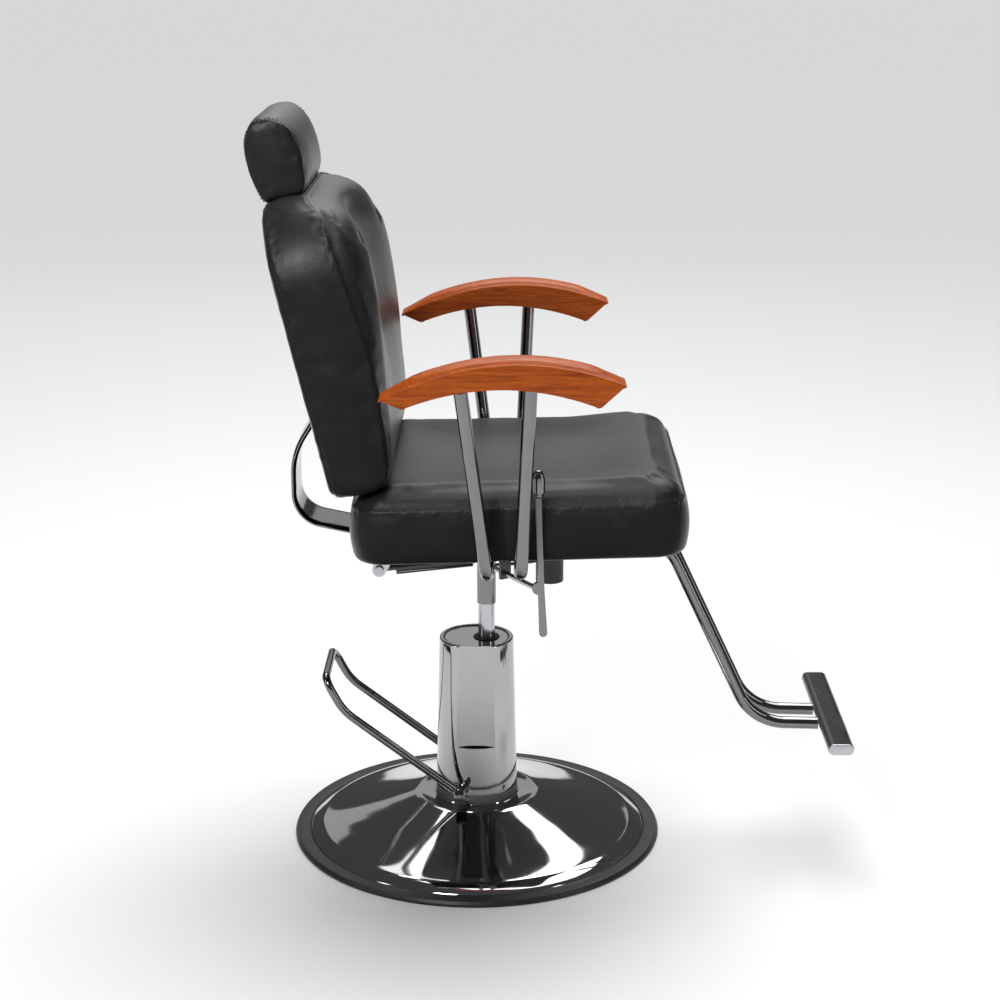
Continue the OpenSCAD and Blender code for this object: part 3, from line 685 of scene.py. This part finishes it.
bmesh.ops.create_cone(bm, cap_ends=True, segments=48, radius1=0.011, radius2=0.011, depth=2 * strap_half,
                      matrix=Matrix.Translation(hinge) @ Matrix.Rotation(math.pi / 2, 4, "Y"))
bmesh.ops.recalc_face_normals(bm, faces=bm.faces)
piece("curved_strap", bm, "back", "chrome_tube", "back_strap", crisp=50)

# %% [markdown]
# The armrests are sawn from a plank: bowed above and below, with slanted ends.
# A block is cut into slices along its length, each vertex is moved onto the
# bow, and the top is crowned across its width. A bevel softens the arrises.


# %% Armrests
def bow(u, first, last, rise):
    """Height at u, from 0 at the rear end to 1 at the front end."""
    s = 2 * u - 1
    return (first[0] + (last[0] - first[0]) * u, first[1] + (last[1] - first[1]) * u + rise * (1 - s * s))


arm_crown = 0.008
for word, side in (("right", -1), ("left", 1)):
    low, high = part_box(word + "_armrest")
    half_w = (high[0] - low[0]) / 2
    bm = bmesh.new()
    bmesh.ops.create_cube(bm, size=2)
    long_edges = [e for e in bm.edges if abs(e.verts[0].co.y - e.verts[1].co.y) > 1]
    bmesh.ops.subdivide_edges(bm, edges=long_edges, cuts=41, use_grid_fill=True)
    wide_edges = [e for e in bm.edges if abs(e.verts[0].co.x - e.verts[1].co.x) > 1]
    bmesh.ops.subdivide_edges(bm, edges=wide_edges, cuts=9, use_grid_fill=True)
    tall_edges = [e for e in bm.edges if abs(e.verts[0].co.z - e.verts[1].co.z) > 1]
    bmesh.ops.subdivide_edges(bm, edges=tall_edges, cuts=5, use_grid_fill=True)
    for v in bm.verts:
        u = (1 - v.co.y) / 2
        top_y, top_z = bow(u, (0.144, 0.786), (-0.198, 0.807), 0.039)
        low_y, low_z = bow(u, (0.112, 0.772), (-0.162, 0.774), 0.027)
        lift = (v.co.z + 1) / 2
        crown = arm_crown * (1 - v.co.x ** 2) * lift * min(1, 8 * u * (1 - u))
        v.co = Vector((side * arm_x + v.co.x * half_w, low_y + (top_y - low_y) * lift,
                       low_z + (top_z - low_z) * lift + crown))
    arrises = [e for e in bm.edges if e.calc_face_angle(0) > math.radians(38)]
    bmesh.ops.bevel(bm, geom=arrises, offset=0.0035, segments=4, profile=0.5, affect="EDGES", material=-1)
    piece(word + "_arm_pad", bm, "seat", "varnished_wood", word + "_armrest", crisp=60)

# %% [markdown]
# The lever is a flat tapered bar with a turned bullet knob on top. The bar is
# an outline that gets its thickness from an extrusion and its soft edges from
# a bevel, and the knob is spun from its section.

# %% Lever and knob
lever_low, lever_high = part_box("recline_lever")
knob_low, knob_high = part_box("lever_knob")
bar_x = (lever_low[0] + lever_high[0]) / 2
outline = [(-0.073, knob_low[2]), (-0.083, knob_low[2]), (-0.0865, 0.505), (-0.0920, 0.421)]
foot_arc = [(-0.086 - 0.006 * math.cos(a), 0.421 - 0.006 * math.sin(a))
            for a in [math.pi * i / 10 for i in range(11)]]
bm = bmesh.new()
ring = [bm.verts.new((lever_low[0], y, z)) for y, z in outline[:-1] + foot_arc]
face = bm.faces.new(ring)
grown = bmesh.ops.extrude_face_region(bm, geom=[face])
bmesh.ops.translate(bm, verts=[v for v in grown["geom"] if isinstance(v, bmesh.types.BMVert)],
                    vec=(lever_high[0] - lever_low[0], 0, 0))
bmesh.ops.recalc_face_normals(bm, faces=bm.faces)
sharp = [e for e in bm.edges if e.calc_face_angle(0) > math.radians(60)]
bmesh.ops.bevel(bm, geom=sharp, offset=0.0016, segments=3, profile=0.5, affect="EDGES", material=-1)
bmesh.ops.create_cone(bm, cap_ends=True, segments=48, radius1=0.009, radius2=0.009, depth=0.0085,
                      matrix=Matrix.Translation((bar_x, -0.0785, 0.489))
                      @ Matrix.Rotation(math.pi / 2, 4, "Y"))
piece("lever_bar", bm, "lever", "chrome_tube", "recline_lever")

knob_h = knob_high[2] - knob_low[2]
knob_section = rounded([(0.0, 0.0), (0.0068, 0.0), (0.0074, 0.003), (0.0098, 0.0065), (0.0100, 0.024),
                        (0.0096, 0.029), (0.0078, 0.035), (0.0040, 0.0392), (0.0, knob_h)], 0.003)
bm = bmesh.new()
turned(bm, [tuple(p) for p in knob_section], (bar_x, -0.078, knob_low[2]), 64)
piece("bullet_knob", bm, "lever", "chrome_tube", "lever_knob")

# %% [markdown]
# The foot bar is a flattened tube with moulded end plugs. Fine ribs run along
# its top so a shoe doesn't slide. They are part of the section, so the whole
# bar is one outline pulled across the chair.

# %% Foot bar
bar_low, bar_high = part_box("foot_bar")
bar_y, bar_z = (bar_low[1] + bar_high[1]) / 2, (bar_low[2] + bar_high[2]) / 2
bar_half, bar_r = (bar_high[1] - bar_low[1]) / 2, (bar_high[2] - bar_low[2]) / 2
rib_count, rib_h = 9, 0.0007


def bar_outline(shrink, ribs):
    flat = bar_half - bar_r
    r = bar_r - shrink
    points = [(flat * math.cos(0) + r * math.sin(a), r * math.cos(a)) for a in
              [math.pi * i / 16 for i in range(17)]]
    points += [(-flat - r * math.sin(a), -r * math.cos(a)) for a in [math.pi * i / 16 for i in range(17)]]
    if ribs:
        for i in range(rib_count * 4):
            s = -flat + 2 * flat * i / (rib_count * 4)
            points.append((s, r - rib_h * (1 if i % 4 in (1, 2) else 0)))
    return points


def pulled(bm, outline_points, x0, x1):
    verts = [bm.verts.new((x0, bar_y + y, bar_z + z)) for y, z in outline_points]
    face = bm.faces.new(verts)
    grown = bmesh.ops.extrude_face_region(bm, geom=[face])
    moved = [v for v in grown["geom"] if isinstance(v, bmesh.types.BMVert)]
    bmesh.ops.translate(bm, verts=moved, vec=(x1 - x0, 0, 0))
    bmesh.ops.recalc_face_normals(bm, faces=bm.faces)


bm = bmesh.new()
pulled(bm, bar_outline(0, True), bar_low[0], bar_high[0])
piece("ribbed_foot_bar", bm, "seat", "ribbed_metal", "foot_bar", crisp=30)
caps_low, caps_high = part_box("foot_bar_caps")
bm = bmesh.new()
for x0, x1 in ((caps_low[0], bar_low[0] - 0.0001), (bar_high[0] + 0.0001, caps_high[0])):
    part = bmesh.new()
    pulled(part, bar_outline(0.0003, False), x0, x1)
    rim = [e for e in part.edges if e.calc_face_angle(0) > math.radians(60)
           and abs(abs(e.verts[0].co.x) - caps_high[0]) < 1e-5]
    bmesh.ops.bevel(part, geom=rim, offset=0.0012, segments=3, profile=0.5, affect="EDGES", material=-1)
    cap_mesh = bpy.data.meshes.new("cap")
    part.to_mesh(cap_mesh)
    part.free()
    bm.from_mesh(cap_mesh)
piece("foot_bar_plugs", bm, "seat", "zinc_steel", "foot_bar_caps")

# %% [markdown]
# A cushion starts as a cube cut into a fine grid, with more rows near its
# edges, where the sewing is. Two rules place its points: one rounds the
# corners of its outline, and one reads a given curve of heights.


# %% Cushion drafting
def gridded_cube(cuts):
    bm = bmesh.new()
    bmesh.ops.create_cube(bm, size=2)
    for axis, count in enumerate(cuts):
        along = [e for e in bm.edges if abs(e.verts[0].co[axis] - e.verts[1].co[axis]) > 1.5]
        bmesh.ops.subdivide_edges(bm, edges=along, cuts=count, use_grid_fill=True)
    return bm


def denser(u):
    """Moves the grid lines of a unit cube outwards, towards its edges."""
    return 1.3 * u - 0.3 * u ** 3


def round_corner(p, half, radius):
    """Moves p, in a rectangle of those half sizes, so that the corners become arcs."""
    over = Vector((max(0.0, abs(p.x) - half.x + radius), max(0.0, abs(p.y) - half.y + radius)))
    if over.length < 1e-9:
        return p
    back = over * (1 - max(over) / over.length)
    return Vector((p.x - math.copysign(back.x, p.x), p.y - math.copysign(back.y, p.y)))


def depth_in(p, half, radius):
    """How far p is inside the rounded rectangle."""
    q = Vector((abs(p.x) - half.x + radius, abs(p.y) - half.y + radius))
    over = Vector((max(0.0, q.x), max(0.0, q.y)))
    return radius - over.length - min(0.0, max(q))


def drawn(table, x):
    """A smooth curve through the [x, y] points of a table."""
    if x <= table[0][0]:
        return table[0][1]
    for i in range(len(table) - 1):
        (x0, y0), (x1, y1) = table[i], table[i + 1]
        if x <= x1:
            m0 = slope_at(table, i) * (x1 - x0)
            m1 = slope_at(table, i + 1) * (x1 - x0)
            s = (x - x0) / (x1 - x0)
            return ((2 * s ** 3 - 3 * s ** 2 + 1) * y0 + (s ** 3 - 2 * s ** 2 + s) * m0
                    + (3 * s ** 2 - 2 * s ** 3) * y1 + (s ** 3 - s ** 2) * m1)
    return table[-1][1]


def slope_at(table, i):
    a, b = table[max(i - 1, 0)], table[min(i + 1, len(table) - 1)]
    return (b[1] - a[1]) / (b[0] - a[0])


def eased(x):
    x = max(0.0, min(1.0, x))
    return x * x * (3 - 2 * x)


def shoulder(x):
    """Rises steeply from 0 at x = 0 and lies flat from x = 1, like the edge of a pillow."""
    x = max(0.0, min(1.0, x))
    return math.sqrt(1 - (1 - x) ** 2)


# %% [markdown]
# The cloth simulation blows each cushion up against its own seams, which are
# pinned. How far a point may move is capped, so the cushion keeps its size.
# Afterwards the seam's points are pulled in to make the sewn groove, and each
# point remembers how near it is to a seam, for the puckers in the material.


# %% Cushion sewing
def inflated(obj, pinned, cap, pressure=4.0, growth=0.0):
    rest = [v.co.copy() for v in obj.data.vertices]
    pins = obj.vertex_groups.new(name="pins")
    pins.add(pinned, 1.0, "REPLACE")
    cloth = obj.modifiers.new("cloth", "CLOTH")
    cloth.settings.use_pressure = True
    cloth.settings.uniform_pressure_force = pressure
    cloth.settings.shrink_min = -growth
    cloth.settings.effector_weights.gravity = 0
    cloth.settings.vertex_group_mass = "pins"
    cloth.settings.quality = 5
    cloth.point_cache.frame_start, cloth.point_cache.frame_end = 1, 20
    for step in range(1, 21):
        bpy.context.scene.frame_set(step)
    blown = obj.evaluated_get(bpy.context.evaluated_depsgraph_get()).to_mesh()
    for vertex, old, new in zip(obj.data.vertices, rest, [v.co.copy() for v in blown.vertices]):
        move = new - old
        vertex.co = old + (move * (cap / move.length) if move.length > cap else move)
    obj.modifiers.remove(cloth)
    obj.vertex_groups.clear()
    bpy.context.scene.frame_set(1)


def sewn(obj, seam_edges, groove, wrinkle, reach=0.016):
    """Pulls the seams in, wrinkles the cover beside them, and stores the nearness to a seam."""
    mesh = obj.data
    seam_verts = sorted({i for e in seam_edges for i in mesh.edges[e].vertices})
    tree = KDTree(len(seam_verts))
    for i in seam_verts:
        tree.insert(mesh.vertices[i].co, i)
    tree.balance()
    near = [math.exp(-(tree.find(v.co)[2] / reach) ** 2) for v in mesh.vertices]
    normals = [v.normal.copy() for v in mesh.vertices]
    on_seam = set(seam_verts)
    for vertex, close, normal in zip(mesh.vertices, near, normals):
        lift = wrinkle * close * noise.noise(vertex.co * 95.0)
        vertex.co += normal * (-groove if vertex.index in on_seam else lift)
    mesh.attributes.new("seam", "FLOAT", "POINT").data.foreach_set("value", near)
    crease = mesh.attributes.new("crease_edge", "FLOAT", "EDGE")
    sharp = set(seam_edges)
    crease.data.foreach_set("value", [0.7 if e.index in sharp else 0.0 for e in mesh.edges])
    soften = obj.modifiers.new("soft", "SUBSURF")
    soften.levels = soften.render_levels = 1


def cushion(name, bm, place, seams, pinned, body, replaced, cap, groove, wrinkle, growth=0.0):
    """seams and pinned are tests of a vertex's place in the unit cube."""
    bm.verts.index_update()
    bm.edges.index_update()
    unit = [v.co.copy() for v in bm.verts]
    seam_edges = [e.index for e in bm.edges if seams(*(unit[v.index] for v in e.verts))]
    pins = sorted({v.index for v in bm.verts if pinned(unit[v.index])}
                  | {v.index for e in bm.edges if e.index in set(seam_edges) for v in e.verts})
    for v in bm.verts:
        v.co = place(unit[v.index])
    bmesh.ops.recalc_face_normals(bm, faces=bm.faces)
    made = piece(name, bm, body, "black_leather", replaced, crisp=75)
    inflated(made, pins, cap, growth=growth)
    sewn(made, seam_edges, groove, wrinkle)
    upholstery.objects.link(made)
    return made


def stitches(name, runs, body, length=0.0036, gap=0.0022, thick=0.00055):
    """One short thread for each stitch along runs of points."""
    template = bmesh.new()
    bmesh.ops.create_uvsphere(template, u_segments=6, v_segments=4, radius=1)
    one = bpy.data.meshes.new("stitch")
    template.to_mesh(one)
    template.free()
    bm = bmesh.new()
    for run in runs:
        left_over = 0.0
        for a, b in zip(run, run[1:]):
            size = (b - a).length
            while left_over < size:
                spot = a.lerp(b, left_over / size)
                turn = (b - a).to_track_quat("X", "Z").to_matrix().to_4x4()
                copy = one.copy()
                copy.transform(Matrix.Translation(spot) @ turn
                               @ Matrix.Diagonal((length / 2, thick, thick, 1)))
                bm.from_mesh(copy)
                bpy.data.meshes.remove(copy)
                left_over += length + gap
            left_over -= size
    return piece(name, bm, body, "black_leather")


# %% [markdown]
# The seat cushion is a box with a boxing strip round its sides. Its top panel
# rolls over from the seam, with a shallow dish where one sits, and a second
# seam crosses the strip half-way along each side. Underneath, the cover is
# turned in round the plywood board.

# %% Seat cushion
seat_tilt = math.radians(1.8)
on_seat = Matrix.Translation((0, 0, 0.5225)) @ Matrix.Rotation(-seat_tilt, 4, "X")
seat_half = Vector((0.240, 0.2435))
seat_mid_y = -0.0525
seat_corner = 0.05
seat_seam_z, seat_roll = 0.084, 0.0230


def seat_place(p):
    flat = Vector((denser(p.x) * seat_half.x, denser(p.y) * seat_half.y))
    spot = round_corner(flat, seat_half, seat_corner)
    inside = depth_in(spot, seat_half, seat_corner)
    height = (denser(p.z) + 1) / 2
    x, y = spot.x, spot.y
    if inside < 1e-6:
        toward = Vector((max(0.0, abs(x) - seat_half.x + seat_corner) * math.copysign(1, x),
                         max(0.0, abs(y) - seat_half.y + seat_corner) * math.copysign(1, y)))
        out = 0.0055 * math.sin(math.pi * height) - 0.0008 - 0.0065 * (1 - shoulder(height / 0.10))
        x, y = x + toward.normalized().x * out, y + toward.normalized().y * out
        z = seat_seam_z * height - 0.0015 * (1 - height)
    elif p.z > 0:
        dish = 0.0085 * eased((inside - 0.03) / 0.13) * (1 - 0.35 * y / seat_half.y)
        ends = 0.004 * eased((-y - 0.08) / 0.12)
        x, y = x * 0.991, y * 0.991
        z = seat_seam_z + seat_roll * shoulder(inside / 0.036) + ends * shoulder(inside / 0.05) - dish
        z += 0.0012 * noise.noise(Vector((x * 9, y * 9, 4.0)))
    else:
        x, y = x * 0.967, y * 0.967
        z = 0.0 + 0.0045 * eased((inside - 0.012) / 0.004)
    return on_seat @ Vector((x, y + seat_mid_y, z))


def seat_seam(a, b):
    round_top = a.z > 0.999 and b.z > 0.999 and all(max(abs(v.x), abs(v.y)) > 0.999 for v in (a, b))
    return round_top or (abs(a.y - mid_v) < 1e-5 and abs(b.y - mid_v) < 1e-5
                         and abs(a.x) > 0.999 and abs(b.x) > 0.999)


seat_bm = gridded_cube((60, 60, 15))
target_y = -0.0233 - seat_mid_y
mid_v = min((v.co.y for v in seat_bm.verts), key=lambda u: abs(denser(u) * seat_half.y - target_y))
seat = cushion("seat_pad", seat_bm, seat_place, seat_seam, lambda p: p.z < -0.99, "seat", "seat_cushion",
               0.004, 0.0026, 0.0014, growth=0.002)


def cube_ring(axis, level, steps=400):
    """Points round the edge of one side of the unit cube."""
    others = [i for i in range(3) if i != axis]
    result = []
    for i in range(steps + 1):
        turn = 4 * (i / steps)
        side, u = int(turn) % 4, 2 * (turn % 1) - 1
        a, b = ((u, -1), (1, u), (-u, 1), (-1, -u))[side]
        p = Vector((0, 0, 0))
        p[axis], p[others[0]], p[others[1]] = level, a, b
        result.append(p)
    return result


lower_row = [seat_place(p) for p in cube_ring(2, 0.945)]
side_rows = [[seat_place(Vector((side, mid_v + shift, -0.9 + 1.8 * i / 20))) for i in range(21)]
             for side in (-1, 1) for shift in (-0.010, 0.010)]
stitches("seat_stitches", [lower_row] + side_rows, "seat")

# %% [markdown]
# The back cushion has a boxing strip between two seams. The front panel is
# drawn from curves: where its seam runs, how far the side wings stand ahead
# of that seam, and how hollow it is between them. The rear panel is a little
# crowned. The heights run up the back's own leaning frame.

# %% Back cushion
back_half = Vector((0.240, 0.2145))
back_foot = -0.0035
wing_curve = ((0.0, 0.066), (0.008, 0.074), (0.050, 0.086), (0.120, 0.097), (0.220, 0.112), (0.300, 0.120),
              (0.372, 0.117), (0.412, 0.099), (0.425, 0.072))
seam_curve = ((0.0, 0.074), (0.013, 0.080), (0.061, 0.088), (0.122, 0.095), (0.200, 0.100), (0.284, 0.094),
              (0.345, 0.088), (0.398, 0.078), (0.425, 0.058))
rear_seam = -0.0020
hollow_curve = ((0.0, 0.000), (0.08, 0.002), (0.16, 0.010), (0.26, 0.024), (0.36, 0.026), (0.425, 0.010))


def back_place(p):
    radius = 0.12 if p.z > 0 else 0.022
    flat = Vector((denser(p.x) * back_half.x, denser(p.z) * back_half.y))
    spot = round_corner(flat, back_half, radius)
    inside = depth_in(spot, back_half, radius)
    x, s = spot.x, spot.y + back_half.y + back_foot
    seam_t, wing_t = drawn(seam_curve, s), drawn(wing_curve, s)
    if inside < 1e-6:
        across = (1 - denser(p.y)) / 2
        toward = Vector((max(0.0, abs(spot.x) - back_half.x + radius) * math.copysign(1, spot.x),
                         max(0.0, abs(spot.y) - back_half.y + radius) * math.copysign(1, spot.y)))
        out = 0.0045 * math.sin(math.pi * across) - 0.0035
        x, s = x + toward.normalized().x * out, s + toward.normalized().y * out
        t = rear_seam + (seam_t - rear_seam) * across
    elif p.y < 0:
        x, s = x * 0.985, 0.212 + (s - 0.212) * 0.985
        hollow = drawn(hollow_curve, s) * (1 - eased(abs(x) / 0.185))
        t = seam_t + (wing_t - seam_t + 0.004) * shoulder(inside / 0.052) - hollow * eased(inside / 0.05)
        t += 0.0015 * noise.noise(Vector((x * 8, s * 8, 1.0)))
    else:
        x, s = x * 0.985, 0.212 + (s - 0.212) * 0.985
        flat = (1 - eased((abs(x) - 0.050) / 0.016)) * (1 - eased((s - 0.214) / 0.016))
        t = rear_seam - 0.0085 * shoulder(inside / 0.03)
        t += (0.0002 - t) * flat
    return on_back @ Vector((x, -t, s))


def back_seam(a, b):
    return any(a.y * side > 0.999 and b.y * side > 0.999 for side in (-1, 1)) and all(
        max(abs(v.x), abs(v.z)) > 0.999 for v in (a, b))


back = cushion("back_pad", gridded_cube((56, 16, 56)), back_place, back_seam,
               lambda p: p.y > 0.999, "back", "back_cushion", 0.004, 0.0026, 0.0026, growth=0.004)
rows = [[back_place(p) for p in cube_ring(1, level)] for level in (-0.95, 0.93)]
stitches("back_stitches", rows, "back")

# %% [markdown]
# The headrest is a short bolster: one panel wraps round its section, and a
# flat panel closes each end, with a seam round it. It slides on its posts, so
# it rides on its own body.

# %% Headrest
head_low, head_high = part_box("headrest_cushion")
head_half = (head_high[0] - head_low[0]) / 2
head_foot = 0.4240
head_back = ((0.0, -0.005), (0.008, -0.007), (0.060, -0.012), (0.101, -0.006), (0.115, 0.000))
head_front = ((0.0, 0.053), (0.010, 0.058), (0.040, 0.063), (0.082, 0.059), (0.106, 0.052), (0.115, 0.047))
section_half = Vector((0.034, 0.0575))


def head_place(p):
    corner = 0.023 if p.z > 0 else 0.007
    spot = round_corner(Vector((denser(p.y) * section_half.x, denser(p.z) * section_half.y)), section_half,
                        corner)
    inside = depth_in(spot, section_half, corner)
    s = spot.y + section_half.y
    rear, front = drawn(head_back, s), drawn(head_front, s)
    t = rear + (front - rear) * (1 - spot.x / section_half.x) / 2
    along = denser(p.x)
    belly = 0.0050 * (1 - along ** 4)
    if inside < 1e-6:
        middle = Vector((0.028, section_half.y))
        out = (Vector((t, s)) - middle).normalized() * belly
        t, s = t + out.x, s + out.y
    x = along * (head_half - 0.004)
    if abs(p.x) > 0.999:
        x += math.copysign(0.0045 * shoulder(inside / 0.022), p.x)
    return on_back @ Vector((x, -t, s + head_foot))


def head_seam(a, b):
    return any(a.x * side > 0.999 and b.x * side > 0.999 for side in (-1, 1)) and all(
        max(abs(v.y), abs(v.z)) > 0.999 for v in (a, b))


head = cushion("headrest_pad", gridded_cube((40, 14, 18)), head_place, head_seam,
               lambda p: False, "headrest", "headrest_cushion", 0.003, 0.0018, 0.0018, growth=0.006)
rows = [[head_place(p) for p in cube_ring(0, side * 0.97)] for side in (-1, 1)]
stitches("headrest_stitches", rows, "headrest")
